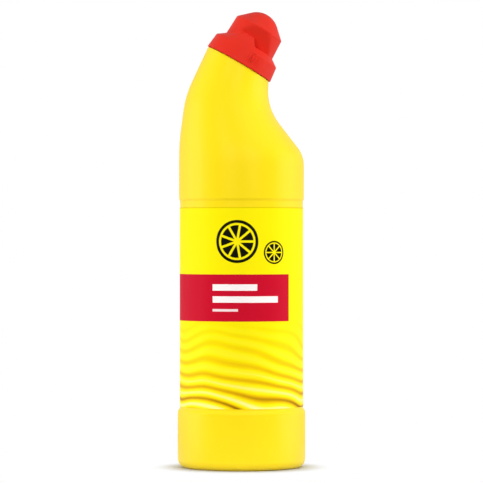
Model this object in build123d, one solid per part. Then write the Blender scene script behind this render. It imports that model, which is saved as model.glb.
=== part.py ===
from build123d import *
import math
import os

# Household bleach bottle with a leaning neck: a hollow blow-moulded bottle, its wrap-around label,
# the pouring nozzle pressed into the neck, and a squeeze-and-turn cap with a seal disc.
# Millimetres, +Z up. The origin is the centre of the ring it stands on, and the neck leans to +X.

# Bottle body, from the floor up
wall = 0.9                    # blown wall of the body
base_radius = 36.8            # plain band round the foot
foot_rounding = 5.0           # under the band
standing_radius = 26.5        # inside of the ring that touches the floor
push_up = 6.0                 # rise of the domed base
band_height = 32.5            # top of the foot band
band_rounding = 2.4
band_step = 1.7               # height of the step from band to panel
panel_radius = 35.35          # recessed cylinder that carries the label
panel_height = 119.0
panel_rounding = 0.8
upper_radius = 35.9           # cylinder above the label
upper_step = 1.2              # height of the step from panel to upper cylinder
upper_height = 18.6           # straight part, up to where the shoulder starts to bend

# Leaning neck, drawn as the two outlines of the side view; heights count from the shoulder's start
neck_tilt = 30.0              # degrees from upright
neck_offset = -1.5            # centre of the neck in the plane of the cap's rim
neck_rise = 59.3
collar_gap = 0.35             # top of the collar, below the cap's rim
collar_height = 0.9
back_bend_1 = 14.0            # back outline: two gentle bends, then a straight slope
back_bend_2 = 41.1
back_slope = 25.0
back_rounding_1 = 142.0
back_rounding_2 = 54.0
front_bend_1 = 6.4            # front outline: shoulder bend, straight slope, throat bend
front_bend_2 = 34.4
front_slope = 37.7
front_rounding_1 = 16.5
front_rounding_2 = 31.0
neck_sections = 13            # cross-sections that the neck is blended through

# Pinch-off weld under the base, in the parting plane of the mould
weld_length = 38.0
weld_width = 1.2
weld_height = 0.5

# Threaded finish on the neck, measured along the neck from the cap's rim
bore_radius = 10.0
finish_wall = 2.0
finish_height = 8.6
lug_height = 2.6              # two stop lugs on the collar
lug_depth = 2.75
lug_angle = 16.0
lug_clearance = 0.4

# Wrap-around label
label_bottom_margin = 1.0
label_top_margin = 3.7
label_thickness = 0.2
label_lap = 8.0               # glued lap at the back

# Pouring nozzle
plug_depth = 6.0
plug_wall = 1.1
flange_setback = 0.3          # edge of the flange, inside the finish
flange_thickness = 1.2
spout_base_radius = 7.0       # less where the flats' inner wall needs the room
spout_tip_bore = 3.6
spout_wall = 1.0

# Cap, which also sets the end of the blown neck
cap_wall = 1.5
rim_overhang = 0.6            # rim beyond the collar
rim_rounding = 0.4
skirt_draft = 0.95
shoulder_height = 3.3
shoulder_rounding = 0.8
head_clearance = 0.7          # room between the nozzle's flange and the flats' inner wall
thread_clearance = 1.4        # room between neck and sleeve, where the thread ridges lie
sleeve_wall = 1.3
sleeve_lift = 0.6             # bottom of the sleeve above the rim
grip_wall = 1.8
grip_height = 11.5
grip_draft = 0.5
grip_rounding = 0.5
crown_height = 9.15
crown_slope = 47.0            # degrees from the cap's axis
crown_rounding = 12.4
crown_thickness = 2.9
cap_lug_depth = 1.0           # stop lugs inside the skirt
cap_lug_height = 4.4
cap_lug_angle = 9.0
cap_lug_play = 1.5            # degrees from the bottle's lugs, when the cap is tight

# Stepped finger flats on the grip, each beside a sloping pad
flats = 2
flat_depth = 3.7              # at the upper step
flat_slope = 20.0             # degrees, deepest at the bottom
flat_turn = 5.0               # degrees round the cap's axis
flat_ledge = 0.2              # lower ledge, above the shoulder
flat_step = 4.2               # upper ledge, above the lower one
step_start = 0.6
step_end = 3.4
pad_shift = 4.0               # centre of the pad's rounding, from the cap's axis
pad_setback = 0.15            # pad inside the edges that it joins

# Seal disc in the crown
disc_margin = 0.3             # disc beyond the spout's tip
disc_thickness = 1.6
disc_clearance = 0.3

# Share of a straight run that one rounded corner may use
shared_run = 0.48
end_run = 0.97

# Heights and radii that follow from the sizes above
panel_bottom = band_height + band_step
panel_top = panel_bottom + panel_height
upper_bottom = panel_top + upper_step
shoulder_start = upper_bottom + upper_height
neck_z = shoulder_start + neck_rise
dome_radius = (standing_radius**2 + push_up**2) / (2 * push_up)
collar_top = -collar_gap
collar_bottom = collar_top - collar_height
finish_radius = bore_radius + finish_wall
flange_top = finish_height + flange_thickness
sleeve_bore = finish_radius + thread_clearance
sleeve_outer = sleeve_bore + sleeve_wall
lug_inner = sleeve_outer + lug_clearance
lug_outer = lug_inner + lug_depth
cap_lug_inner = lug_outer + lug_clearance
skirt_inner = cap_lug_inner + cap_lug_depth
rim_radius = skirt_inner + cap_wall
neck_radius = rim_radius - rim_overhang
grip_radius = sleeve_bore + grip_wall
grip_top_radius = grip_radius - grip_draft
grip_bottom = flange_top + cap_wall + head_clearance
grip_top = grip_bottom + grip_height
skirt_height = grip_bottom - shoulder_height
skirt_top_radius = rim_radius - skirt_draft
cap_height = grip_top + crown_height
low_ledge = grip_bottom + flat_ledge
high_ledge = low_ledge + flat_step
crown_cone = math.tan(math.radians(crown_slope))
flat_lean = math.radians(flat_slope)
flat_inside = (
    grip_radius - flat_depth - cap_wall / math.cos(flat_lean) - (flat_step + cap_wall) * math.tan(flat_lean)
)
spout_root_radius = min(spout_base_radius, flat_inside - head_clearance)
spout_tip_radius = spout_tip_bore + spout_wall
spout_height = cap_height - crown_thickness - disc_thickness
disc_radius = spout_tip_radius + disc_margin

upright = (Align.CENTER, Align.CENTER, Align.MIN)
tilt = math.radians(neck_tilt)
neck = Plane(
    origin=(neck_offset, 0, neck_z),
    x_dir=(math.cos(tilt), 0, -math.sin(tilt)),
    z_dir=(math.sin(tilt), 0, math.cos(tilt)),
)


def neck_point(across, along):
    """A point of the side view, given in the neck's own directions."""
    return (
        neck_offset + across * math.cos(tilt) + along * math.sin(tilt),
        neck_z - across * math.sin(tilt) + along * math.cos(tilt),
    )


def rounded_path(points, roundings):
    """Straight runs with rounded corners, each rounding no larger than its two runs have room for."""
    runs = [Vector(*end) - Vector(*start) for start, end in zip(points, points[1:])]
    free = [run.length * shared_run for run in runs]
    free[0] = runs[0].length * end_run
    free[-1] = runs[-1].length * end_run
    radii = []
    for index, rounding in enumerate(roundings):
        turn = math.radians(runs[index].get_angle(runs[index + 1]))
        room = min(free[index], free[index + 1])
        radii.append(min(rounding, room / math.tan(turn / 2)))
    return FilletPolyline(*points, radius=radii)


def turned(*lines):
    """A solid of revolution about Z from a closed outline in the XZ plane."""
    return revolve(Plane.XZ * make_face(Curve() + list(lines)), Axis.Z)


def ring_block(inner, outer, bottom, height, angle, direction):
    """A block of a ring about Z, as wide as an angle, centred on a direction."""
    reach = 2 * outer
    half = math.radians(angle / 2)
    side = reach * math.sin(half)
    wedge = make_face(Polyline((0, 0), (reach, -side), (reach, side), close=True))
    block = extrude((Circle(outer) - Circle(inner)) & wedge, height)
    return Rot(0, 0, direction) * Pos(0, 0, bottom) * block


def body_solid(inset):
    """The upright part of the body, drawn in by an inset for the inside of the wall."""
    top = shoulder_start + inset
    side = rounded_path(
        [
            (standing_radius, 0),
            (base_radius, 0),
            (base_radius, band_height),
            (panel_radius, panel_bottom),
            (panel_radius, panel_top),
            (upper_radius, upper_bottom),
            (upper_radius, top),
        ],
        [foot_rounding, band_rounding, panel_rounding, panel_rounding, panel_rounding],
    )
    dome = ThreePointArc((-standing_radius, 0), (0, push_up), (standing_radius, 0))
    lid = Line((-upper_radius, top), (upper_radius, top))
    section = make_face(Curve() + [side, mirror(side, Plane.YZ), dome, lid])
    half = Pos(base_radius, top / 2) * Rectangle(2 * base_radius, 2 * top)
    return revolve(Plane.XZ * (offset(section, -inset, kind=Kind.INTERSECTION) & half), Axis.Z)


def neck_outlines():
    """The back and front outlines of the leaning neck, from the shoulder to the collar."""
    back_end = neck_point(-neck_radius, collar_bottom)
    front_end = neck_point(neck_radius, collar_bottom)
    back_z = shoulder_start + back_bend_2
    back_x = back_end[0] - (back_end[1] - back_z) * math.tan(math.radians(back_slope))
    throat_x = upper_radius - (front_bend_2 - front_bend_1) * math.tan(math.radians(front_slope))
    back = rounded_path(
        [
            (-upper_radius, shoulder_start),
            (-upper_radius, shoulder_start + back_bend_1),
            (back_x, back_z),
            back_end,
        ],
        [back_rounding_1, back_rounding_2],
    )
    front = rounded_path(
        [
            (upper_radius, shoulder_start),
            (upper_radius, shoulder_start + front_bend_1),
            (throat_x, shoulder_start + front_bend_2),
            front_end,
        ],
        [front_rounding_1, front_rounding_2],
    )
    return back, front


def neck_solid(inset):
    """Round sections that span the two outlines, blended into one form."""
    back, front = neck_outlines()
    sections = []
    for index in range(neck_sections):
        share = index / (neck_sections - 1)
        a, b = back @ share, front @ share
        across = Vector(b.X - a.X, 0, b.Y - a.Y)
        centre = ((a.X + b.X) / 2, 0, (a.Y + b.Y) / 2)
        plane = Plane(origin=centre, x_dir=across, z_dir=(-across.Z, 0, across.X))
        sections.append(plane * Circle(across.length / 2 - inset))
    return loft(sections)


def pinch_weld():
    """The welded line across the domed base, left where the mould pinched the tube shut."""
    centre = push_up - dome_radius
    bar = Pos(0, 0, push_up) * Box(weld_length, weld_width, 2 * push_up)
    shell = Sphere(dome_radius + wall / 2) - Sphere(dome_radius - weld_height)
    return bar & Pos(0, 0, centre) * shell


def bottle_part():
    """The blown bottle, with its collar, neck finish and stop lugs."""
    shelf = neck_radius - collar_height
    finish = turned(
        Polyline(
            (shelf, collar_top),
            (finish_radius, collar_top),
            (finish_radius, finish_height),
            (0, finish_height),
            (0, collar_bottom),
            (neck_radius, collar_bottom),
        ),
        RadiusArc((neck_radius, collar_bottom), (shelf, collar_top), -collar_height),
    )
    for direction in (0, 180):
        finish += ring_block(lug_inner, lug_outer, collar_top, lug_height, lug_angle, direction)
    bore = Cylinder(bore_radius, finish_height - collar_bottom, align=upright)
    bottle = body_solid(0) + neck_solid(0) + neck * finish
    bottle -= body_solid(wall) + neck_solid(wall)
    bottle -= neck * Pos(0, 0, collar_bottom) * bore
    return bottle + pinch_weld()


def label_part():
    """The printed film round the panel, with its glued lap at the back."""
    outer = panel_radius + label_thickness
    height = panel_height - label_bottom_margin - label_top_margin
    film = extrude(Circle(outer) - Circle(panel_radius), height)
    lap_angle = math.degrees(label_lap / outer)
    film += ring_block(outer, outer + label_thickness, 0, height, lap_angle, 90)
    return Pos(0, 0, panel_bottom + label_bottom_margin) * film


def nozzle_part():
    """The pouring nozzle: a plug in the bore, a flange on the rim and a tapering spout."""
    plug_inner = bore_radius - plug_wall
    flange_radius = finish_radius - flange_setback
    outline = Polyline(
        (plug_inner, finish_height - plug_depth),
        (bore_radius, finish_height - plug_depth),
        (bore_radius, finish_height),
        (flange_radius, finish_height),
        (flange_radius, flange_top),
        (spout_root_radius, flange_top),
        (spout_tip_radius, spout_height),
        (spout_tip_bore, spout_height),
        (spout_root_radius - spout_wall, flange_top),
        (plug_inner, finish_height - plug_wall),
        close=True,
    )
    return neck * turned(outline)


def finger_flats(inset):
    """The stepped flats on the grip, as solids to cut away, moved in for the wall behind them."""
    reach = 2 * rim_radius
    outline = make_face(
        Polyline(
            (-reach, high_ledge - inset),
            (step_start - inset / 2, high_ledge - inset),
            (step_end - inset / 2, low_ledge - inset),
            (reach, low_ledge - inset),
            (reach, cap_height),
            (-reach, cap_height),
            close=True,
        )
    )
    turn = math.radians(flat_turn)
    facing = Vector(math.sin(turn), -math.cos(turn), 0)
    floor = Plane(
        origin=facing * (grip_radius - flat_depth) + Vector(0, 0, high_ledge),
        x_dir=(math.cos(turn), math.sin(turn), 0),
        z_dir=facing * math.cos(flat_lean) - Vector(0, 0, math.sin(flat_lean)),
    )
    outside = Box(2 * reach, 2 * reach, reach, align=upright)
    flat = Plane.XZ * extrude(outline, reach) & floor * Pos(0, 0, -inset) * outside
    return [Rot(0, 0, index * 360 / flats) * flat for index in range(flats)]


def sloping_pads():
    """The pads that rise from the skirt to the upper ledges, each ending at the step beside it."""
    reach = 2 * rim_radius
    ledge_radius = grip_radius - grip_draft * (high_ledge - grip_bottom) / grip_height
    foot = Pos(0, -pad_shift, skirt_height) * Circle(skirt_top_radius - pad_setback - pad_shift)
    head = Pos(0, -pad_shift, high_ledge) * Circle(ledge_radius - pad_setback - pad_shift)
    step_run = (step_end - step_start) / flat_step
    beside = make_face(
        Polyline(
            (-reach, 0),
            (step_start + high_ledge * step_run, 0),
            (step_start, high_ledge),
            (-reach, high_ledge),
            close=True,
        )
    )
    pad = loft([foot, head]) & Plane.XZ * extrude(beside, reach)
    return [Rot(0, 0, index * 360 / flats) * pad for index in range(flats)]


def cap_hollow():
    """The hollow over the neck: a sleeve bore, a cone in the crown and the seal disc's pocket."""
    pocket = disc_radius + disc_clearance
    inner_top_radius = grip_top_radius - cap_wall
    cone_wall = cap_wall * math.hypot(1, crown_cone)
    cone_start = grip_top + (cap_wall - cone_wall) / crown_cone
    pocket_top = spout_height + disc_thickness
    cone_end = grip_top + (grip_top_radius - cone_wall - pocket) / crown_cone
    cone_end = min(cone_end, pocket_top - disc_thickness / 2)
    hollow = turned(
        Polyline(
            (0, 0),
            (sleeve_bore, 0),
            (sleeve_bore, grip_bottom),
            (inner_top_radius, cone_start),
            (pocket, cone_end),
            (pocket, pocket_top),
            (0, pocket_top),
            close=True,
        )
    )
    return hollow - finger_flats(cap_wall)


def cap_part():
    """The moulded cap: skirt, shoulder, grip with finger flats, and coned crown."""
    crown_radius = grip_top_radius - crown_height * crown_cone
    outer = turned(
        rounded_path(
            [
                (0, cap_height),
                (crown_radius, cap_height),
                (grip_top_radius, grip_top),
                (grip_radius, grip_bottom),
                (skirt_top_radius, skirt_height),
                (rim_radius, 0),
                (skirt_inner, 0),
            ],
            [crown_rounding, grip_rounding, grip_rounding, shoulder_rounding, rim_rounding],
        ),
        Polyline((skirt_inner, 0), (0, 0), (0, cap_height)),
    )
    trough = turned(
        Polyline(
            (sleeve_outer, 0),
            (skirt_inner, 0),
            (skirt_top_radius - cap_wall, skirt_height - cap_wall),
            (sleeve_outer, grip_bottom - cap_wall),
            close=True,
        )
    )
    rim_gap = Cylinder(sleeve_outer, sleeve_lift, align=upright)
    cap = outer + sloping_pads() - finger_flats(0) - cap_hollow() - trough - rim_gap
    lug_root = skirt_inner + cap_wall / 3
    behind = -lug_angle / 2 - cap_lug_angle / 2 - cap_lug_play
    for direction in (behind, behind + 180):
        cap += ring_block(cap_lug_inner, lug_root, sleeve_lift, cap_lug_height, cap_lug_angle, direction)
    return neck * cap


def seal_disc_part():
    """The foam disc that the crown presses on the spout's tip."""
    disc = Cylinder(disc_radius, disc_thickness, align=upright)
    return neck * Pos(0, 0, spout_height) * disc


os.makedirs("parts", exist_ok=True)
export_step(bottle_part(), "parts/bottle.step")
export_step(label_part(), "parts/label.step")
export_step(nozzle_part(), "parts/nozzle.step")
export_step(cap_part(), "parts/cap.step")
export_step(seal_disc_part(), "parts/seal_disc.step")
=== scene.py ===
import math

import bmesh
import bpy
import numpy as np
from mathutils import Matrix, Vector


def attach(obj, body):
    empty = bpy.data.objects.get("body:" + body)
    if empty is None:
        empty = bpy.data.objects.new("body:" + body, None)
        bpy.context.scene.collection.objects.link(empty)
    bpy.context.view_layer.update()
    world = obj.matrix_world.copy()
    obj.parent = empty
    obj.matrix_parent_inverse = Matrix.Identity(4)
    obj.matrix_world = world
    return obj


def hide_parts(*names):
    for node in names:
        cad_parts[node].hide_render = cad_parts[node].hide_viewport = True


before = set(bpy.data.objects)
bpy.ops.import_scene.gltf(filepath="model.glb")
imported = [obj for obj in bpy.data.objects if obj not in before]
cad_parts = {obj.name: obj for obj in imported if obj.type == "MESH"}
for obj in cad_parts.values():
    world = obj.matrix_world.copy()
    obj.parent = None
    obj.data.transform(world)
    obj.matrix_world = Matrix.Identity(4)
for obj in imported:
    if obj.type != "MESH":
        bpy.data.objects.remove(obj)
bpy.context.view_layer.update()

# Sizes in millimetres, as in the part's source. Meshes are made in metres.
MM = 0.001

# Bottle body
wall = 0.9
parting_stand = 0.06
base_radius, foot_rounding = 36.7, 5.0
standing_radius, push_up = 26.5, 6.0
band_height, band_rounding, band_step = 32.5, 2.4, 1.7
panel_radius, panel_height, panel_rounding = 35.35, 119.0, 0.8
upper_radius, upper_step, upper_height = 35.9, 1.2, 18.6
panel_bottom = band_height + band_step
panel_top = panel_bottom + panel_height
upper_bottom = panel_top + upper_step
shoulder_start = upper_bottom + upper_height

# Leaning neck
neck_tilt = math.radians(30)
neck_offset, neck_z = -1.5, shoulder_start + 59.3
neck_radius = 20.15
back_bend_1, back_bend_2, back_slope = 14.0, 41.1, math.radians(25)
front_bend_1, front_bend_2, front_slope = 6.4, 34.4, math.radians(37.7)
back_rounding_1, back_rounding_2 = 142.0, 54.0
front_rounding_1, front_rounding_2 = 16.5, 31.0
collar_top, collar_bottom = -0.35, -1.25
collar_edge = -0.75
finish_radius, finish_height, bore_radius = 12.0, 8.6, 10.0
lug_inner, lug_outer, lug_height, lug_angle = 15.1, 17.85, 2.6, math.radians(16)

# Thread: neck and cap ridges lie half a turn apart, so that they never meet
thread_pitch, thread_start = 4.0, 2.0
neck_ridge, cap_ridge = 0.75, 0.7
sleeve_bore, sleeve_outer, sleeve_lift = 13.4, 14.7, 0.6

# Label
label_bottom, label_top = panel_bottom + 1.0, panel_top - 3.7
label_thickness, label_lap = 0.2, 8.0
film_radius = panel_radius + label_thickness
film_round = 2 * math.pi * film_radius
film_end = (film_round + label_lap) / 2

# Print on the label: an ink, its left and right along the film, and its low and high edge.
# The last two are not ink but painted shade: darker lines where shadow falls along the film's cut edges, at
# its top and at its end.
ink_spread, beyond = 0.1, 1.0
print_fields = [
    ("#C8102B", -film_end, 30.4, 84.7, 111.4),
    ("#FBF4F2", -17.0, 9.0, 102.2, 105.8),
    ("#FBF4F2", -17.0, 22.0, 95.4, 99.0),
    ("#F6DCDD", -17.0, -2.0, 90.4, 91.8),
    # Painted shade: a thin darker line along the film's top edge.
    ("#E2CA04", -film_end, film_end + beyond, label_top - 0.6, label_top + beyond),
    # Painted shade: a thin darker line along the film's end, where it laps over its start.
    ("#E2CA04", film_end - 0.5, film_end + beyond, label_bottom - beyond, label_top + beyond),
]
# Citrus wheels: a centre along the film and above the floor, a radius, and a number of wedges
citrus_wheels = [(-2.5, 130.0, 12.2, 9), (19.5, 123.8, 6.6, 8)]

# Cap, in the neck's own directions with its rim at zero
cap_height, cap_wall = 32.65, 1.5
rim_radius, skirt_inner, skirt_top_radius, skirt_height = 20.75, 19.25, 19.8, 8.7
grip_radius, grip_top_radius, grip_bottom, grip_top = 15.2, 14.7, 12.0, 23.5
crown_slope, crown_rounding = math.radians(47), 12.38
crown_radius = grip_top_radius - (cap_height - grip_top) * math.tan(crown_slope)
crown_inside, pocket_radius, pocket_top = 22.78, 5.2, 29.75
flat_floor, flat_slope, flat_turn = 11.5, math.radians(20), math.radians(5)
flat_low, flat_high = 12.2, 16.4
step_start, step_end = 0.6, 3.4
flat_fillet, ledge_edge, floor_edge = 0.45, 0.4, 0.8
pad_shift, pad_edge = 4.0, 3.0
ray_start, rim_edge = 9.0, 0.22
cap_lug_height, cap_lug_angle, cap_lug_inner = 4.4, math.radians(9), 18.25

neck_matrix = Matrix(
    (
        (math.cos(neck_tilt), 0, math.sin(neck_tilt), neck_offset * MM),
        (0, 1, 0, 0),
        (-math.sin(neck_tilt), 0, math.cos(neck_tilt), neck_z * MM),
        (0, 0, 0, 1),
    )
)


# Materials


def linear(code):
    """An sRGB hex colour as linear red, green, blue and alpha."""
    parts = [int(code[i : i + 2], 16) / 255 for i in (1, 3, 5)]
    return [c / 12.92 if c <= 0.04045 else ((c + 0.055) / 1.055) ** 2.4 for c in parts] + [1.0]


def add(tree, kind, inputs=None, out=0, **settings):
    """Adds a node, sets or links its inputs, and returns one of its outputs."""
    made = tree.nodes.new(kind)
    for name, value in settings.items():
        setattr(made, name, value)
    for key, value in (inputs or {}).items():
        if isinstance(value, bpy.types.NodeSocket):
            tree.links.new(value, made.inputs[key])
        else:
            made.inputs[key].default_value = value
    return made.outputs[out] if made.outputs else made


def new_material(name):
    """An empty node material and its tree."""
    material = bpy.data.materials.new(name)
    material.use_nodes = True
    material.node_tree.nodes.clear()
    return material, material.node_tree


def per_metre(size_mm):
    """The texture scale that gives features of a size in millimetres."""
    return 1 / (size_mm * MM)


def blown_polyethylene():
    """Yellow HDPE, blown in a polished mould.

    The eye sees a strong warm yellow with a soft satin gloss, a wall that is never quite even,
    and a fine orange-peel grain.
    """
    material, tree = new_material("blown HDPE, yellow")
    place = add(tree, "ShaderNodeTexCoord", out="Object")
    cloud = add(tree, "ShaderNodeTexNoise", {"Vector": place, "Scale": per_metre(38), "Detail": 2.0})
    tone = add(
        tree,
        "ShaderNodeMix",
        {"Factor": cloud, 6: linear("#FADB0C"), 7: linear("#FCDE10")},
        out=2,
        data_type="RGBA",
    )
    wave = add(tree, "ShaderNodeTexNoise", {"Vector": place, "Scale": per_metre(14), "Detail": 1.0})
    # The mould's real grain is about 0.1 mm; it is drawn at 0.9 mm so that it shows.
    grain = add(tree, "ShaderNodeTexNoise", {"Vector": place, "Scale": per_metre(0.9), "Detail": 2.0})
    swell = add(
        tree, "ShaderNodeBump", {"Strength": 0.25, "Distance": 0.05 * MM, "Height": wave}
    )
    peel = add(
        tree,
        "ShaderNodeBump",
        {"Strength": 0.2, "Distance": 0.02 * MM, "Height": grain, "Normal": swell},
    )
    gloss = add(
        tree,
        "ShaderNodeMapRange",
        {"Value": grain, "From Min": 0.3, "From Max": 0.7, "To Min": 0.34, "To Max": 0.42},
    )
    shader = add(
        tree,
        "ShaderNodeBsdfPrincipled",
        {"Base Color": tone, "Roughness": gloss, "IOR": 1.52, "Specular IOR Level": 0.38, "Normal": peel},
    )
    add(tree, "ShaderNodeOutputMaterial", {"Surface": shader})
    return material


def moulded_polypropylene():
    """Red polypropylene, injection moulded in a finely eroded mould.

    The eye sees an even bright red, satin rather than glossy, with a faint grain.
    """
    material, tree = new_material("moulded PP, red")
    place = add(tree, "ShaderNodeTexCoord", out="Object")
    cloud = add(tree, "ShaderNodeTexNoise", {"Vector": place, "Scale": per_metre(9), "Detail": 2.0})
    tone = add(
        tree,
        "ShaderNodeMix",
        {"Factor": cloud, 6: linear("#DA2B1D"), 7: linear("#E03021")},
        out=2,
        data_type="RGBA",
    )
    # Spark-erosion grain of about 0.1 mm, drawn at 0.5 mm so that it shows.
    grain = add(tree, "ShaderNodeTexNoise", {"Vector": place, "Scale": per_metre(0.5), "Detail": 3.0})
    skin = add(
        tree, "ShaderNodeBump", {"Strength": 0.3, "Distance": 0.02 * MM, "Height": grain}
    )
    gloss = add(
        tree,
        "ShaderNodeMapRange",
        {"Value": grain, "From Min": 0.3, "From Max": 0.7, "To Min": 0.44, "To Max": 0.54},
    )
    shader = add(
        tree,
        "ShaderNodeBsdfPrincipled",
        {"Base Color": tone, "Roughness": gloss, "IOR": 1.5, "Specular IOR Level": 0.2, "Normal": skin},
    )
    add(tree, "ShaderNodeOutputMaterial", {"Surface": shader})
    return material


def natural_polyethylene():
    """Unpigmented LDPE, injection moulded: the eye sees a milky, slightly see-through white."""
    material, tree = new_material("moulded LDPE, natural")
    place = add(tree, "ShaderNodeTexCoord", out="Object")
    cloud = add(tree, "ShaderNodeTexNoise", {"Vector": place, "Scale": per_metre(5), "Detail": 2.0})
    tone = add(
        tree,
        "ShaderNodeMix",
        {"Factor": cloud, 6: linear("#DFE0D8"), 7: linear("#EBECE4")},
        out=2,
        data_type="RGBA",
    )
    gloss = add(
        tree,
        "ShaderNodeMapRange",
        {"Value": cloud, "From Min": 0.3, "From Max": 0.7, "To Min": 0.35, "To Max": 0.45},
    )
    shader = add(
        tree,
        "ShaderNodeBsdfPrincipled",
        {"Base Color": tone, "Roughness": gloss, "IOR": 1.51},
    )
    add(tree, "ShaderNodeOutputMaterial", {"Surface": shader})
    return material


def foamed_polyethylene():
    """Foamed PE sheet, punched out: the eye sees a matt white with fine closed cells."""
    material, tree = new_material("foamed PE, white")
    place = add(tree, "ShaderNodeTexCoord", out="Object")
    cells = add(tree, "ShaderNodeTexVoronoi", {"Vector": place, "Scale": per_metre(0.4)}, out="Distance")
    tone = add(
        tree,
        "ShaderNodeMix",
        {"Factor": cells, 6: linear("#E9E9E4"), 7: linear("#F6F6F2")},
        out=2,
        data_type="RGBA",
    )
    pores = add(tree, "ShaderNodeBump", {"Strength": 0.4, "Distance": 0.05 * MM, "Height": cells})
    shader = add(
        tree,
        "ShaderNodeBsdfPrincipled",
        {"Base Color": tone, "Roughness": 0.8, "IOR": 1.45, "Normal": pores},
    )
    add(tree, "ShaderNodeOutputMaterial", {"Surface": shader})
    return material


def within(tree, limits):
    """One where all limits hold, with the soft edge of print, and zero elsewhere.

    A limit is a value, its edge, and 1 where the value is to be above the edge or -1 below it.
    """
    inside = 1.0
    for value, edge, side in limits:
        spread = ink_spread * side
        held = add(
            tree,
            "ShaderNodeMapRange",
            {"Value": value, "From Min": edge - spread, "From Max": edge + spread},
        )
        inside = add(tree, "ShaderNodeMath", {0: inside, 1: held}, operation="MINIMUM")
    return inside


def citrus_wheel(tree, print_place, centre_arc, centre_z, radius, wedges):
    """A slice of fruit: a ring of peel, and wedges round a small core."""
    from_centre = add(
        tree,
        "ShaderNodeVectorMath",
        {0: print_place, 1: (centre_arc, centre_z, 0.0)},
        operation="SUBTRACT",
    )
    far = add(tree, "ShaderNodeVectorMath", {0: from_centre}, out="Value", operation="LENGTH")
    sides = add(tree, "ShaderNodeSeparateXYZ", {"Vector": from_centre}).node.outputs
    turn = add(tree, "ShaderNodeMath", {0: sides["Y"], 1: sides["X"]}, operation="ARCTAN2")
    share = add(tree, "ShaderNodeMath", {0: turn, 1: math.pi / wedges}, operation="PINGPONG")
    gap = add(tree, "ShaderNodeMath", {0: share, 1: far}, operation="MULTIPLY")
    flesh = within(tree, [(gap, 0.055 * radius, 1), (far, 0.16 * radius, 1), (far, 0.76 * radius, -1)])
    peel = within(tree, [(far, 0.86 * radius, 1), (far, radius, -1)])
    return add(tree, "ShaderNodeMath", {0: flesh, 1: peel}, operation="MAXIMUM")


def golden_waves(tree, place, arc, height):
    """Bands of gold along the foot of the label, bent by slow noise and fading out upwards."""
    band, climb, fade_top = 7.5, 3, 86.0
    bend_size, bend_reach = 55.0, 34.0
    drift = add(tree, "ShaderNodeTexNoise", {"Vector": place, "Scale": per_metre(bend_size), "Detail": 1.0})
    bend = add(tree, "ShaderNodeMath", {0: drift, 1: bend_reach}, operation="MULTIPLY")
    # They climb by a whole number of bands in a turn, so that they meet at the lap.
    slope = climb * band / film_round
    tilt = add(tree, "ShaderNodeMath", {0: arc, 1: slope, 2: bend}, operation="MULTIPLY_ADD")
    level = add(tree, "ShaderNodeMath", {0: height, 1: tilt}, operation="ADD")
    turns = add(tree, "ShaderNodeMath", {0: level, 1: 2 * math.pi / band}, operation="MULTIPLY")
    swing = add(tree, "ShaderNodeMath", {0: turns}, operation="SINE")
    deep = add(
        tree,
        "ShaderNodeMapRange",
        {"Value": height, "From Min": label_bottom, "From Max": fade_top, "To Min": 1.0, "To Max": 0.0},
    )
    crest = add(tree, "ShaderNodeMath", {0: swing, 1: deep}, operation="MULTIPLY")
    shade = add(tree, "ShaderNodeMath", {0: crest, 1: 0.5, 2: 0.5}, operation="MULTIPLY_ADD")
    gold = add(tree, "ShaderNodeValToRGB", {"Fac": shade})
    ramp = gold.node.color_ramp
    ramp.elements[0].position = 0.0
    ramp.elements[0].color = linear("#8A6407")
    ramp.elements[1].position = 1.0
    ramp.elements[1].color = linear("#FFF59A")
    for spot, code in ((0.1, "#D9A609"), (0.28, "#F4CF08"), (0.5, "#FBEA08"), (0.78, "#FDEE2A")):
        ramp.elements.new(spot).color = linear(code)
    return gold


def printed_film():
    """Polypropylene film, gravure printed and wrapped round the panel.

    The eye sees flat, clean inks: bright yellow ground, black citrus wheels, a red panel with
    white bars, and golden waves along the foot. Darker lines along its top edge and its end are painted
    shade.
    """
    material, tree = new_material("printed PP film")
    place = add(tree, "ShaderNodeTexCoord", out="Object")
    parts = add(tree, "ShaderNodeSeparateXYZ", {"Vector": place}).node.outputs
    toward = add(tree, "ShaderNodeMath", {0: parts["Y"], 1: -1.0}, operation="MULTIPLY")
    angle = add(tree, "ShaderNodeMath", {0: parts["X"], 1: toward}, operation="ARCTAN2")
    around = add(tree, "ShaderNodeMath", {0: angle, 1: film_radius}, operation="MULTIPLY")
    # At the back the print runs on over the lap, as far as the film's end.
    arc = add(
        tree, "ShaderNodeMath", {0: around, 1: film_end, 2: film_end - film_round}, operation="WRAP"
    )
    height = add(tree, "ShaderNodeMath", {0: parts["Z"], 1: 1 / MM}, operation="MULTIPLY")
    print_place = add(tree, "ShaderNodeCombineXYZ", {"X": arc, "Y": height})
    inks = []
    for code, left, right, low, high in print_fields:
        limits = [(arc, left, 1), (arc, right, -1), (height, low, 1), (height, high, -1)]
        inks.append((within(tree, limits), code))
    for wheel in citrus_wheels:
        inks.append((citrus_wheel(tree, print_place, *wheel), "#10120A"))
    tone = golden_waves(tree, place, arc, height)
    for cover, code in inks:
        tone = add(
            tree, "ShaderNodeMix", {"Factor": cover, 6: tone, 7: linear(code)}, out=2, data_type="RGBA"
        )
    ripple = add(tree, "ShaderNodeTexNoise", {"Vector": place, "Scale": per_metre(22), "Detail": 1.0})
    lie = add(tree, "ShaderNodeBump", {"Strength": 0.2, "Distance": 0.05 * MM, "Height": ripple})
    shader = add(
        tree,
        "ShaderNodeBsdfPrincipled",
        {"Base Color": tone, "Roughness": 0.5, "IOR": 1.5, "Specular IOR Level": 0.08, "Normal": lie},
    )
    add(tree, "ShaderNodeOutputMaterial", {"Surface": shader})
    return material


bottle_finish = blown_polyethylene()
cap_finish = moulded_polypropylene()
label_finish = printed_film()
nozzle_finish = natural_polyethylene()
disc_finish = foamed_polyethylene()


# Outlines


def eased(share):
    """A share between 0 and 1 that starts and ends gently."""
    share = np.clip(share, 0, 1)
    return share * share * (3 - 2 * share)


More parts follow.
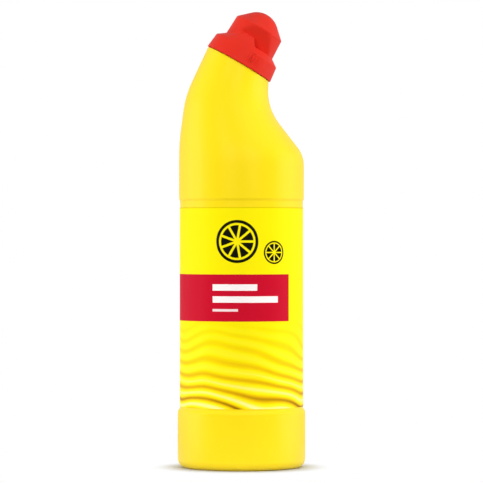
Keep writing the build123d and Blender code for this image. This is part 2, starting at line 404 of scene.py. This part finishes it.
def rounded(corners):
    """Points along straight runs whose corners, given as (x, z, rounding), are rounded."""
    points = [Vector(corners[0][:2])]
    for before, corner, after in zip(corners, corners[1:], corners[2:]):
        here = Vector(corner[:2])
        arriving = (here - Vector(before[:2])).normalized()
        leaving = (Vector(after[:2]) - here).normalized()
        turn = arriving.angle(leaving)
        if not corner[2] or turn < 1e-4:
            points.append(here)
            continue
        tangent = corner[2] * math.tan(turn / 2)
        steps = max(4, math.ceil(math.degrees(turn) / 7))
        inward = (leaving - arriving).normalized()
        centre = here + inward * math.hypot(corner[2], tangent)
        start = here - arriving * tangent
        # A row just outside each end of the arc keeps the shading of the flat runs flat.
        points.append(start - arriving * min(0.25, tangent / 3))
        side = 1 if arriving.cross(leaving) > 0 else -1
        for step in range(steps + 1):
            swing = Matrix.Rotation(side * turn * step / steps, 2)
            points.append(centre + swing @ (start - centre))
        points.append(here + leaving * (tangent + min(0.25, tangent / 3)))
    points.append(Vector(corners[-1][:2]))
    return np.array([tuple(p) for p in points])


def along(points, shares):
    """The points of an outline at shares of its length."""
    length = np.concatenate(([0], np.cumsum(np.linalg.norm(np.diff(points, axis=0), axis=1))))
    places = np.asarray(shares) * length[-1]
    return np.column_stack([np.interp(places, length, points[:, axis]) for axis in (0, 1)])


def in_neck(across, up):
    """Side-view points of radii and heights given in the neck's own directions."""
    across, up = np.asarray(across), np.asarray(up)
    return np.column_stack(
        (
            neck_offset + across * math.cos(neck_tilt) + up * math.sin(neck_tilt),
            neck_z - across * math.sin(neck_tilt) + up * math.cos(neck_tilt),
        )
    )


def base_dome(across):
    """The height of the domed base at a distance from the bottle's axis."""
    dome_radius = (standing_radius**2 + push_up**2) / (2 * push_up)
    return push_up - dome_radius + math.sqrt(dome_radius**2 - across**2)


def body_side(inset):
    """The upright body from the middle of the base to the shoulder, moved inwards by an inset."""
    dome = [(x, base_dome(x), 0) for x in np.linspace(0, standing_radius - 1, 16)]
    side = rounded(
        dome
        + [
            (standing_radius, 0, 1.2),
            (base_radius, 0, foot_rounding),
            (base_radius, band_height, band_rounding),
            (panel_radius, panel_bottom, panel_rounding),
            (panel_radius, panel_top, panel_rounding),
            (upper_radius, upper_bottom, panel_rounding),
            (upper_radius, shoulder_start, 0),
        ]
    )
    run = np.gradient(side, axis=0)
    run /= np.linalg.norm(run, axis=1)[:, None]
    normal = np.column_stack((run[:, 1], -run[:, 0]))
    moved = side - inset * normal
    moved[0, 0] = 0
    moved[-1, 1] = shoulder_start
    return moved


def neck_sides(shares, inset):
    """Points on the back and front outlines of the leaning neck, moved inwards by an inset."""
    back_end = in_neck([-neck_radius], [collar_edge])[0]
    front_end = in_neck([neck_radius], [collar_edge])[0]
    back_z = shoulder_start + back_bend_2
    back_x = back_end[0] - (back_end[1] - back_z) * math.tan(back_slope)
    throat_x = upper_radius - (front_bend_2 - front_bend_1) * math.tan(front_slope)
    back = rounded(
        [
            (-upper_radius, shoulder_start, 0),
            (-upper_radius, shoulder_start + back_bend_1, back_rounding_1),
            (back_x, back_z, back_rounding_2),
            (*back_end, 0),
        ]
    )
    front = rounded(
        [
            (upper_radius, shoulder_start, 0),
            (upper_radius, shoulder_start + front_bend_1, front_rounding_1),
            (throat_x, shoulder_start + front_bend_2, front_rounding_2),
            (*front_end, 0),
        ]
    )
    back, front = along(back, shares), along(front, shares)
    middle, half = (back + front) / 2, (front - back) / 2
    half *= 1 - inset / np.linalg.norm(half, axis=1)[:, None]
    return middle - half, middle + half


def bottle_outlines():
    """Paired points of the back and front outlines: outside, over the neck's rim, and back down inside."""
    outside = body_side(0)
    inside = body_side(wall)[::3][::-1]
    shares = np.linspace(0, 1, 90)[1:]
    back, front = neck_sides(shares, 0)
    inner_back, inner_front = neck_sides(shares[::-4], wall)
    finish = rounded(
        [
            (neck_radius, collar_edge, 0),
            (neck_radius, collar_top, 0.2),
            (finish_radius, collar_top, 0.5),
            (finish_radius, finish_height, 0.5),
            (bore_radius, finish_height, 0.3),
            (bore_radius, collar_bottom, 0.3),
            (neck_radius - wall, collar_bottom, 0),
        ]
    )[1:]
    mirror = np.array((-1, 1))
    backs = [outside * mirror, back, in_neck(-finish[:, 0], finish[:, 1]), inner_back, inside * mirror]
    fronts = [outside, front, in_neck(finish[:, 0], finish[:, 1]), inner_front, inside]
    return np.concatenate(backs), np.concatenate(fronts)


# Geometry Nodes trees


def new_tree(name, sockets):
    """A Geometry Nodes tree with named inputs, its input node's outputs, and their identifiers."""
    tree = bpy.data.node_groups.new(name, "GeometryNodeTree")
    identifiers = {}
    for label, kind in [("Geometry", "NodeSocketGeometry"), *sockets]:
        identifiers[label] = tree.interface.new_socket(
            name=label, in_out="INPUT", socket_type=kind
        ).identifier
    tree.interface.new_socket(name="Geometry", in_out="OUTPUT", socket_type="NodeSocketGeometry")
    given = tree.nodes.new("NodeGroupInput").outputs
    return tree, given, identifiers


def close_tree(tree, geometry, material):
    """Ends a tree in smooth, real faces with their material."""
    real = add(tree, "GeometryNodeRealizeInstances", {"Geometry": geometry})
    smooth = add(tree, "GeometryNodeSetShadeSmooth", {"Geometry": real})
    painted = add(tree, "GeometryNodeSetMaterial", {"Geometry": smooth, "Material": material})
    add(tree, "NodeGroupOutput", {"Geometry": painted})


def section_loft_tree():
    """Round sections that span a back and a front outline, skinned into one shell.

    The source mesh holds the back outline's points and then the front outline's, one of each a row.
    """
    tree, given, identifiers = new_tree(
        "round sections",
        [("Rows", "NodeSocketInt"), ("Columns", "NodeSocketInt"), ("Material", "NodeSocketMaterial")],
    )
    around = add(tree, "ShaderNodeMath", {0: given["Columns"], 1: 1.0}, operation="ADD")
    grid = add(
        tree,
        "GeometryNodeMeshGrid",
        {"Vertices X": around, "Vertices Y": given["Rows"]},
    )
    index = add(tree, "GeometryNodeInputIndex")
    row = add(tree, "ShaderNodeMath", {0: index, 1: given["Rows"]}, operation="FLOORED_MODULO")
    front_row = add(tree, "ShaderNodeMath", {0: row, 1: given["Rows"]}, operation="ADD")
    column = add(tree, "ShaderNodeMath", {0: index, 1: given["Rows"]}, operation="DIVIDE")
    column = add(tree, "ShaderNodeMath", {0: column}, operation="FLOOR")
    share = add(tree, "ShaderNodeMath", {0: column, 1: given["Columns"]}, operation="DIVIDE")
    turn = add(tree, "ShaderNodeMath", {0: share, 1: 2 * math.pi}, operation="MULTIPLY")
    place = add(tree, "GeometryNodeInputPosition")
    ends = [
        add(
            tree,
            "GeometryNodeSampleIndex",
            {"Geometry": given["Geometry"], "Value": place, "Index": which},
            data_type="FLOAT_VECTOR",
            domain="POINT",
        )
        for which in (row, front_row)
    ]
    total = add(tree, "ShaderNodeVectorMath", {0: ends[0], 1: ends[1]}, operation="ADD")
    middle = add(tree, "ShaderNodeVectorMath", {0: total, "Scale": 0.5}, operation="SCALE")
    span = add(tree, "ShaderNodeVectorMath", {0: ends[1], 1: ends[0]}, operation="SUBTRACT")
    half = add(tree, "ShaderNodeVectorMath", {0: span, "Scale": 0.5}, operation="SCALE")
    radius = add(tree, "ShaderNodeVectorMath", {0: half}, out="Value", operation="LENGTH")
    cosine = add(tree, "ShaderNodeMath", {0: turn}, operation="COSINE")
    sine = add(tree, "ShaderNodeMath", {0: turn}, operation="SINE")
    depth = add(tree, "ShaderNodeMath", {0: sine, 1: radius}, operation="MULTIPLY")
    across = add(tree, "ShaderNodeVectorMath", {0: half, "Scale": cosine}, operation="SCALE")
    deep = add(tree, "ShaderNodeCombineXYZ", {"Y": depth})
    corner = add(tree, "ShaderNodeVectorMath", {0: middle, 1: across}, operation="ADD")
    corner = add(tree, "ShaderNodeVectorMath", {0: corner, 1: deep}, operation="ADD")
    shaped = add(tree, "GeometryNodeSetPosition", {"Geometry": grid, "Position": corner})
    closed = add(tree, "GeometryNodeMergeByDistance", {"Geometry": shaped, "Distance": 0.002 * MM})
    close_tree(tree, closed, given["Material"])
    return tree, identifiers


def ridge_tree():
    """A round ridge along a path, fading out at both ends, such as a thread or a parting line."""
    tree, given, identifiers = new_tree(
        "moulded ridge",
        [("Radius", "NodeSocketFloat"), ("Fade", "NodeSocketFloat"), ("Material", "NodeSocketMaterial")],
    )
    share = add(tree, "GeometryNodeSplineParameter", out="Factor")
    other = add(tree, "ShaderNodeMath", {0: 1.0, 1: share}, operation="SUBTRACT")
    near = add(tree, "ShaderNodeMath", {0: share, 1: other}, operation="MINIMUM")
    size = add(
        tree,
        "ShaderNodeMapRange",
        {"Value": near, "From Max": given["Fade"], "To Min": 0.15, "To Max": 1.0},
        interpolation_type="SMOOTHSTEP",
    )
    curve = add(tree, "GeometryNodeSetCurveRadius", {"Curve": given["Geometry"], "Radius": size})
    bead = add(tree, "GeometryNodeCurvePrimitiveCircle", {"Resolution": 12, "Radius": given["Radius"]})
    swept = add(
        tree,
        "GeometryNodeCurveToMesh",
        {"Curve": curve, "Profile Curve": bead, "Fill Caps": True},
    )
    close_tree(tree, swept, given["Material"])
    return tree, identifiers


def copies_tree():
    """Copies of the source mesh, turned about Z by a step each."""
    tree, given, identifiers = new_tree(
        "copies round the axis",
        [
            ("Count", "NodeSocketInt"),
            ("Start", "NodeSocketFloat"),
            ("Step", "NodeSocketFloat"),
            ("Material", "NodeSocketMaterial"),
        ],
    )
    line = add(tree, "GeometryNodeMeshLine", {"Count": given["Count"], "Offset": (0.0, 0.0, 0.0)})
    index = add(tree, "GeometryNodeInputIndex")
    turn = add(
        tree,
        "ShaderNodeMath",
        {0: index, 1: given["Step"], 2: given["Start"]},
        operation="MULTIPLY_ADD",
    )
    spin = add(tree, "ShaderNodeCombineXYZ", {"Z": turn})
    placed = add(
        tree,
        "GeometryNodeInstanceOnPoints",
        {"Points": line, "Instance": given["Geometry"], "Rotation": spin},
    )
    close_tree(tree, placed, given["Material"])
    return tree, identifiers


loft = section_loft_tree()
ridge = ridge_tree()
copies = copies_tree()


# Meshes and pieces


def made_real(helper, name):
    """A plain mesh object of what a helper shows with its modifiers. The helper is removed."""
    bpy.context.scene.collection.objects.link(helper)
    shown = helper.evaluated_get(bpy.context.evaluated_depsgraph_get())
    mesh = bpy.data.meshes.new_from_object(shown)
    mesh.name = name
    helper.modifiers.clear()
    bpy.data.objects.remove(helper)
    return bpy.data.objects.new(name, mesh)


def grown(name, source, tree_made, values):
    """A plain mesh object made by a tree from a source mesh or curve."""
    tree, identifiers = tree_made
    helper = bpy.data.objects.new(name + "_source", source)
    modifier = helper.modifiers.new(tree.name, "NODES")
    modifier.node_group = tree
    for label, value in values.items():
        modifier[identifiers[label]] = value
    return made_real(helper, name)


def path_curve(points):
    """An open poly curve through points in metres."""
    curve = bpy.data.curves.new("path", "CURVE")
    curve.dimensions = "3D"
    spline = curve.splines.new("POLY")
    spline.points.add(len(points) - 1)
    for spot, point in zip(spline.points, points):
        spot.co = (*point, 1)
    return curve


def grid_mesh(name, grid, closed, finish):
    """Four-sided faces over rows of points. The rows of a closed grid join end to end."""
    count, columns = grid.shape[:2]
    corners = np.arange(count * columns).reshape(count, columns)
    if closed:
        corners = np.column_stack((corners, corners[:, 0]))
    faces = np.stack((corners[:-1, :-1], corners[1:, :-1], corners[1:, 1:], corners[:-1, 1:]), axis=-1)
    mesh = bpy.data.meshes.new(name)
    mesh.from_pydata((grid.reshape(-1, 3) * MM).tolist(), [], faces.reshape(-1, 4).tolist())
    mesh.materials.append(finish)
    return mesh


def turned(outline, spin):
    """Rows of points where an outline of radii and heights is turned about Z to each of some angles."""
    radii = outline[:, :1]
    heights = np.repeat(outline[:, 1:], len(spin), axis=1)
    return np.stack((radii * np.cos(spin), radii * np.sin(spin), heights), axis=-1)


def on_neck(piece):
    """A piece made upright at the origin, moved to the leaning neck."""
    piece.data.transform(neck_matrix)
    return piece


def thread_ridge(name, radius, bead, first_angle, turns, count, finish):
    """A round ridge that climbs about the neck's axis, through a number of points."""
    swing = np.linspace(0, turns * 2 * math.pi, count)
    spin = first_angle + swing
    climb = thread_start + thread_pitch * swing / (2 * math.pi)
    points = np.column_stack((radius * np.cos(spin), radius * np.sin(spin), climb)) * MM
    values = {"Radius": bead * MM, "Fade": 0.06, "Material": finish}
    return on_neck(grown(name, path_curve(points), ridge, values))


def lug_pair(name, block, start, finish):
    """Two lugs on opposite sides of the neck's axis."""
    values = {"Count": 2, "Start": start, "Step": math.pi, "Material": finish}
    return on_neck(grown(name, block, copies, values))


def finish_piece(piece, body, slot, *nodes):
    """Puts a piece in the scene with its faces outwards, ties it to its body, and hides the nodes it stands
    for. Its slot is not used.
    """
    bpy.context.scene.collection.objects.link(piece)
    shell = bmesh.new()
    shell.from_mesh(piece.data)
    bmesh.ops.remove_doubles(shell, verts=shell.verts, dist=0.001 * MM)
    bmesh.ops.recalc_face_normals(shell, faces=shell.faces)
    for face in shell.faces:
        face.smooth = True
    shell.to_mesh(piece.data)
    shell.free()
    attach(piece, body)
    if nodes:
        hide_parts(*nodes)
    return piece


# Bottle


def bottle_shell():
    """The blown bottle from its paired outlines."""
    back, front = bottle_outlines()
    outline = bpy.data.meshes.new("bottle_outlines")
    outline.from_pydata([(x * MM, 0, z * MM) for x, z in (*back, *front)], [], [])
    values = {"Rows": len(back), "Columns": 192, "Material": bottle_finish}
    return grown("bottle_shell", outline, loft, values)


def neck_thread():
    """One and a half turns of round thread on the neck finish."""
    return thread_ridge("neck_thread", finish_radius + 0.1, neck_ridge, 0, 1.5, 120, bottle_finish)


def rounded_block(inner, outer, bottom, top, angle, edge):
    """A block of a ring about Z, centred on +X, with rounded edges."""
    block = bmesh.new()
    steps = np.linspace(-angle / 2, angle / 2, 7)
    rings = [
        [
            block.verts.new((r * math.cos(a) * MM, r * math.sin(a) * MM, z * MM))
            for r, z in ((inner, bottom), (outer, bottom), (outer, top), (inner, top))
        ]
        for a in steps
    ]
    for one, two in zip(rings, rings[1:]):
        for k in range(4):
            block.faces.new((one[k], one[(k + 1) % 4], two[(k + 1) % 4], two[k]))
    block.faces.new(rings[0][::-1])
    block.faces.new(rings[-1])
    bmesh.ops.recalc_face_normals(block, faces=block.faces)
    sharp = [e for e in block.edges if e.calc_face_angle(0) > math.radians(40)]
    bmesh.ops.bevel(
        block, geom=sharp, offset=edge * MM, segments=3, profile=0.5, affect="EDGES", clamp_overlap=True
    )
    mesh = bpy.data.meshes.new("rounded_block")
    block.to_mesh(mesh)
    block.free()
    return mesh


def stop_lugs():
    """Two lugs on the collar that stop the cap until its skirt is squeezed."""
    block = rounded_block(lug_inner, lug_outer, collar_top - 0.4, collar_top + lug_height, lug_angle, 0.3)
    return lug_pair("stop_lugs", block, 0.0, bottle_finish)


def parting_lines():
    """Fine ridges where the mould's halves met, up both edges of the side view."""
    bead = 0.28
    depth = bead - parting_stand
    side = along(body_side(depth), np.linspace(0, 1, 600))
    rows = (side[:, 1] > 5) & (side[:, 1] < band_height - 2) & (side[:, 0] > base_radius - 1)
    band = side[rows]
    top = side[side[:, 1] > upper_bottom + 1][:-1]
    back, front = neck_sides(np.linspace(0, 0.985, 90), depth)
    mirror = np.array((-1, 1))
    runs = [band, band * mirror, np.concatenate((top, front)), np.concatenate((top * mirror, back))]
    values = {"Radius": bead * MM, "Fade": 0.04, "Material": bottle_finish}
    pieces = []
    for number, run in enumerate(runs):
        points = [(x * MM, 0, z * MM) for x, z in run]
        pieces.append(grown(f"parting_line_{number}", path_curve(points), ridge, values))
    return pieces


def pinch_weld():
    """The welded line under the base, left where the mould pinched the tube shut."""
    points = [(x * MM, 0, base_dome(x) * MM) for x in np.linspace(-19, 19, 40)]
    values = {"Radius": 0.5 * MM, "Fade": 0.05, "Material": bottle_finish}
    return grown("pinch_weld", path_curve(points), ridge, values)


finish_piece(bottle_shell(), "bottle", "bottle", "bottle")
finish_piece(neck_thread(), "bottle", "bottle")
finish_piece(stop_lugs(), "bottle", "bottle")
finish_piece(pinch_weld(), "bottle", "bottle")
for line in parting_lines():
    finish_piece(line, "bottle", "bottle")


# Label


def label_film():
    """The film, wrapped once round the panel from the back, its end lapped over its start."""
    lap, ramp = label_lap / film_radius, 2.0 / film_radius
    start = math.pi / 2 - lap / 2
    angles = np.linspace(start, start + 2 * math.pi + lap, 260)
    lift = eased((angles - start - 2 * math.pi + ramp) / ramp)
    gap = 0.02
    reach = panel_radius + gap + label_thickness * lift
    wrap = np.column_stack((reach * np.cos(angles), reach * np.sin(angles)))
    middle = np.linspace(label_top - 4, label_bottom + 4, 12)
    heights = (label_top, label_top - 0.4, *middle, label_bottom + 0.4, label_bottom)
    grid = np.stack([np.column_stack((wrap, np.full(len(wrap), z))) for z in heights])
    film = grid_mesh("label_sheet", grid, False, label_finish)
    piece = bpy.data.objects.new("label_sheet", film)
    thick = piece.modifiers.new("film thickness", "SOLIDIFY")
    thick.thickness = (label_thickness - 2 * gap) * MM
    thick.offset = 1
    return made_real(piece, "label_film")


label = finish_piece(label_film(), "bottle", "label", "label")
label.data.set_sharp_from_angle(angle=math.radians(40))


# Cap


def radius_by_height(outline):
    """The radius of a turned outline as a function of height. Above its top it closes quickly."""
    order = np.argsort(outline[:, 1])
    heights, radii = outline[order, 1], outline[order, 0]

    closing = 50

    def radius(up):
        return np.interp(up, heights, radii) - closing * np.maximum(up - heights[-1], 0)

    return radius


def round_cut(a, b, radius):
    """The crossing of two solids, given as signed distances, with its edge rounded."""
    corner = np.hypot(np.maximum(a + radius, 0), np.maximum(b + radius, 0))
    return np.minimum(-radius, np.maximum(a, b)) + corner


def round_join(a, b, radius):
    """The union of two solids, given as signed distances, with its inner corner filled."""
    corner = np.hypot(np.maximum(radius - a, 0), np.maximum(radius - b, 0))
    return np.maximum(radius, np.minimum(a, b)) - corner


def over_step(x, up):
    """Signed distance beyond the slanting step that parts the two ledges."""
    run = math.hypot(step_end - step_start, flat_high - flat_low)
    return ((x - step_start) * (flat_high - flat_low) + (up - flat_high) * (step_end - step_start)) / run


def over_floor(x, y, up):
    """Signed distance beyond the sloping floor of a finger flat."""
    reach = math.sin(flat_turn) * x - math.cos(flat_turn) * y - flat_floor
    return math.cos(flat_slope) * reach - math.sin(flat_slope) * (up - flat_high)


def finger_flat(x, y, up, form, grip):
    """The cap with one side made: a sloping pad, and a flat cut down to its stepped ledges."""
    step = over_step(x, up)
    taper = (grip_radius - grip_top_radius) / (grip_top - grip_bottom)
    pad_top = grip_radius - taper * (flat_high - grip_bottom)
    flare = (skirt_top_radius - pad_top) / (flat_high - skirt_height)
    pad = np.hypot(x, y + pad_shift) + pad_shift - pad_top + flare * (up - flat_high)
    skirt = np.hypot(x, y) - rim_radius + (rim_radius - skirt_top_radius) * up / skirt_height
    pad = round_cut(pad / math.hypot(1, flare), skirt, pad_edge)
    # Beside the step the pad takes the shoulder's place, and runs into the skirt without an edge.
    off_middle = np.abs(np.arctan2(x, -y))
    beside = eased((math.radians(60) - off_middle) / math.radians(35)) * eased(0.5 - step / 0.6)
    form = np.minimum(form, round_cut(pad, step, ledge_edge))
    form = form + (np.minimum(grip, pad) - form) * beside
    ledge = round_join(up - flat_low, round_cut(up - flat_high, step, ledge_edge), flat_fillet)
    floor = over_floor(x, y, up)
    # The flat leaves the grip in a soft edge, and its ledges in a crisp one.
    edge = ledge_edge + (floor_edge - ledge_edge) * np.clip((ledge - floor) / 1.5, 0, 1)
    return round_cut(form, round_join(ledge, floor, flat_fillet), edge)


def ray_points(solid, outline, spacing, spin):
    """Where rays from a point on the axis leave a solid. An outline of radii and heights spaces them."""
    length = np.linalg.norm(np.diff(outline, axis=0), axis=1).sum()
    rows = along(outline, np.linspace(0, 1, round(length / spacing)))
    down, turn = np.meshgrid(np.arctan2(rows[:, 0], rows[:, 1] - ray_start), spin, indexing="ij")

    def place(reach):
        across = reach * np.sin(down)
        return across * np.cos(turn), across * np.sin(turn), ray_start + reach * np.cos(down)

    beyond, halvings = 40.0, 32
    near, far = np.zeros_like(down), np.full_like(down, beyond)
    for _ in range(halvings):
        middle = (near + far) / 2
        out = solid(*place(middle)) > 0
        far = np.where(out, middle, far)
        near = np.where(out, near, middle)
    return np.stack(place((near + far) / 2), axis=-1)


def cap_outside(outline):
    """The cap's outside as a signed distance: a turned form with a finger flat on two sides."""
    radius_at = radius_by_height(outline[outline[:, 1] > 0.9 * rim_edge])

    def outside(x, y, up):
        form = np.hypot(x, y) - radius_at(up)
        grip = np.hypot(x, y) - np.minimum(radius_at(up), grip_radius)
        return finger_flat(-x, -y, up, finger_flat(x, y, up, form, grip), grip)

    return outside


def cap_hollow(outline):
    """The hollow over the sleeve as a signed distance, a wall's thickness behind the finger flats."""
    radius_at = radius_by_height(outline[:-1])

    def hollow(x, y, up):
        form = np.hypot(x, y) - radius_at(up)
        for side in (-1, 1):
            beyond = np.minimum(up - flat_low + cap_wall, over_step(side * x, up) + cap_wall / 2)
            above = np.maximum(up - flat_high + cap_wall, beyond)
            form = np.maximum(form, np.minimum(above, over_floor(side * x, side * y, up) + cap_wall))
        return form

    return hollow


def cap_shell():
    """The moulded cap: rays find its outside and its ceiling, and the rest of its inside is turned."""
    outer = rounded(
        [
            (0, cap_height, 0),
            (crown_radius, cap_height, crown_rounding),
            (grip_top_radius, grip_top, 0.5),
            (grip_radius, grip_bottom, 0.5),
            (skirt_top_radius, skirt_height, 0.8),
            (rim_radius, 0, rim_edge),
            (skirt_inner, 0, 0),
        ]
    )
    inner = rounded(
        [
            (rim_radius, 0.5, 0),
            (rim_radius, 0, rim_edge),
            (skirt_inner, 0, 0.3),
            (skirt_top_radius - cap_wall, skirt_height - cap_wall, 0),
            (sleeve_outer, grip_bottom - cap_wall, 0),
            (sleeve_outer, sleeve_lift, 0.3),
            (sleeve_bore, sleeve_lift, 0.3),
            (sleeve_bore, ray_start - 0.5, 0),
        ]
    )[1:]
    ceiling = np.array(
        [
            (sleeve_bore, ray_start),
            (sleeve_bore, grip_bottom),
            (grip_top_radius - cap_wall, crown_inside),
            (pocket_radius, pocket_top - 0.6),
            (pocket_radius, pocket_top),
            (0, pocket_top),
        ]
    )
    columns, outside_spacing, ceiling_spacing = 408, 0.3, 0.8
    spin = np.linspace(0, 2 * math.pi, columns, endpoint=False)
    rows = (
        ray_points(cap_outside(outer), outer[outer[:, 1] > 0.5], outside_spacing, spin),
        turned(inner, spin),
        ray_points(cap_hollow(ceiling), ceiling, ceiling_spacing, spin),
    )
    mesh = grid_mesh("cap_shell", np.concatenate(rows), True, cap_finish)
    return on_neck(bpy.data.objects.new("cap_shell", mesh))


def cap_thread():
    """The thread inside the cap's sleeve, half a turn from the neck's."""
    return thread_ridge("cap_thread", sleeve_bore - 0.1, cap_ridge, math.pi, 1.2, 100, cap_finish)


def cap_lugs():
    """The two lugs inside the skirt, just behind the bottle's lugs when the cap is tight."""
    behind = -lug_angle / 2 - cap_lug_angle / 2 - math.radians(1.5)
    block = rounded_block(
        cap_lug_inner, skirt_inner + 0.5, sleeve_lift, sleeve_lift + cap_lug_height, cap_lug_angle, 0.25
    )
    return lug_pair("cap_lugs", block, behind, cap_finish)


def squeeze_ribs():
    """Raised ribs on the skirt that show where to squeeze, a row at the front and one at the back."""
    up, tall, wide = 5.4, 3.6, 0.9
    proud, sunk, edge = 0.35, 0.6, 0.2
    off_middle, spacing = math.radians(11), math.radians(5.6)
    lean = math.atan2(rim_radius - skirt_top_radius, skirt_height)
    surface = rim_radius - (rim_radius - skirt_top_radius) * up / skirt_height
    rib = bmesh.new()
    bmesh.ops.create_cube(rib, size=1)
    bmesh.ops.scale(rib, vec=((proud + sunk) * MM, wide * MM, tall * MM), verts=rib.verts)
    bmesh.ops.bevel(
        rib, geom=list(rib.edges), offset=edge * MM, segments=3, profile=0.5, affect="EDGES"
    )
    bmesh.ops.rotate(rib, cent=(0, 0, 0), matrix=Matrix.Rotation(-lean, 3, "Y"), verts=rib.verts)
    bmesh.ops.translate(rib, vec=((surface + (proud - sunk) / 2) * MM, 0, up * MM), verts=rib.verts)
    mesh = bpy.data.meshes.new("rib")
    rib.to_mesh(mesh)
    rib.free()
    rows = []
    for side, middle in (("front", -math.pi / 2), ("back", math.pi / 2)):
        values = {"Count": 4, "Start": middle + off_middle, "Step": spacing, "Material": cap_finish}
        rows.append(on_neck(grown("squeeze_ribs_" + side, mesh, copies, values)))
    return rows


finish_piece(cap_shell(), "cap", "cap", "cap")
finish_piece(cap_thread(), "cap", "cap")
finish_piece(cap_lugs(), "cap", "cap")
for row in squeeze_ribs():
    finish_piece(row, "cap", "cap")

for node_name, finish in (("nozzle", nozzle_finish), ("seal_disc", disc_finish)):
    node_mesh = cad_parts[node_name].data
    node_mesh.materials.clear()
    node_mesh.materials.append(finish)


# Stage

eye_level = 0.13


def studio_floor():
    """A pale floor that keeps the bottle's shadow near its foot and fades to white further out."""
    mesh = bpy.data.meshes.new("floor")
    reach, corners = 0.15, 64
    turns = [2 * math.pi * k / corners for k in range(corners)]
    mesh.from_pydata(
        [(reach * math.cos(a), reach * math.sin(a), 0) for a in turns], [], [tuple(range(corners))]
    )
    material, tree = new_material("matt white paper")
    place = add(tree, "ShaderNodeTexCoord", out="Object")
    far = add(tree, "ShaderNodeVectorMath", {0: place}, out="Value", operation="LENGTH")
    fade = add(
        tree,
        "ShaderNodeMapRange",
        {"Value": far, "From Min": 34 * MM, "From Max": 52 * MM},
        interpolation_type="SMOOTHSTEP",
    )
    light = add(tree, "ShaderNodeLightPath").node.outputs
    seen = add(
        tree, "ShaderNodeMath", {0: light["Is Camera Ray"], 1: light["Is Glossy Ray"]}, operation="MAXIMUM"
    )
    seen = add(
        tree, "ShaderNodeMath", {0: seen, 1: light["Is Transmission Ray"]}, operation="MAXIMUM"
    )
    white_share = add(tree, "ShaderNodeMath", {0: seen, 1: fade}, operation="MULTIPLY")
    paper = add(tree, "ShaderNodeBsdfDiffuse", {"Color": linear("#CECECC")})
    white = add(tree, "ShaderNodeEmission", {"Color": linear("#FFFFFF"), "Strength": 1.0})
    mixed = add(tree, "ShaderNodeMixShader", {0: white_share, 1: paper, 2: white})
    add(tree, "ShaderNodeOutputMaterial", {"Surface": mixed})
    mesh.materials.append(material)
    floor = bpy.data.objects.new("floor", mesh)
    bpy.context.scene.collection.objects.link(floor)


def studio_world():
    """White to the eye; to the object, a pale room that is dark behind the camera."""
    world = bpy.data.worlds.new("studio")
    world.use_nodes = True
    tree = world.node_tree
    tree.nodes.clear()
    light = add(tree, "ShaderNodeLightPath").node.outputs
    seen = add(
        tree,
        "ShaderNodeMath",
        {0: light["Is Camera Ray"], 1: light["Is Transmission Ray"]},
        operation="MAXIMUM",
    )
    toward = add(tree, "ShaderNodeTexCoord", out="Generated")
    behind = add(tree, "ShaderNodeSeparateXYZ", {"Vector": toward}).node.outputs["Y"]
    shades = []
    for wall_level in (0.42, 0.52):
        level = add(
            tree,
            "ShaderNodeMapRange",
            {"Value": behind, "From Min": -0.85, "From Max": -0.15, "To Min": 0.04, "To Max": wall_level},
            interpolation_type="SMOOTHSTEP",
        )
        shades.append(
            add(tree, "ShaderNodeBackground", {"Color": linear("#FFFFFF"), "Strength": level})
        )
    white = add(tree, "ShaderNodeBackground", {"Color": linear("#FFFFFF"), "Strength": 1.0})
    room = add(tree, "ShaderNodeMixShader", {0: light["Is Glossy Ray"], 1: shades[0], 2: shades[1]})
    mixed = add(tree, "ShaderNodeMixShader", {0: seen, 1: room, 2: white})
    add(tree, "ShaderNodeOutputWorld", {"Surface": mixed})
    bpy.context.scene.world = world


def softbox(name, place, width, height, watts):
    """A rectangular lamp that faces the middle of the bottle, polarised so that it leaves no glare."""
    lamp = bpy.data.lights.new(name, "AREA")
    lamp.shape = "RECTANGLE"
    lamp.size, lamp.size_y = width, height
    lamp.energy = watts
    holder = bpy.data.objects.new(name, lamp)
    holder.location = place
    toward = Vector((0, 0, eye_level)) - Vector(place)
    holder.rotation_mode = "QUATERNION"
    holder.rotation_quaternion = toward.to_track_quat("-Z", "Y")
    holder.visible_glossy = False
    holder.visible_camera = False
    bpy.context.scene.collection.objects.link(holder)


def photo_camera():
    """A long lens, level with the middle of the bottle."""
    lens = bpy.data.cameras.new("camera")
    lens.lens, lens.sensor_width = 226.3, 36.0
    holder = bpy.data.objects.new("camera", lens)
    holder.location = (0, -1.75, eye_level)
    holder.rotation_euler = (math.radians(90), 0, 0)
    bpy.context.scene.collection.objects.link(holder)
    bpy.context.scene.camera = holder


studio_floor()
studio_world()
for hand, side in (("left", -1), ("right", 1)):
    softbox(f"{hand}_side_softbox", (0.99 * side, 0.17, 0.09), 0.7, 1.0, 7.9)
    softbox(f"{hand}_front_softbox", (0.4 * side, -1.03, 0.5), 0.5, 0.6, 6.1)
softbox("back_softbox", (0, 1.1, 0.45), 0.8, 0.6, 6.0)
softbox("top_softbox", (0.35, -0.35, 1.2), 0.6, 0.6, 1.8)
photo_camera()
bpy.context.scene.view_settings.view_transform = "Standard"
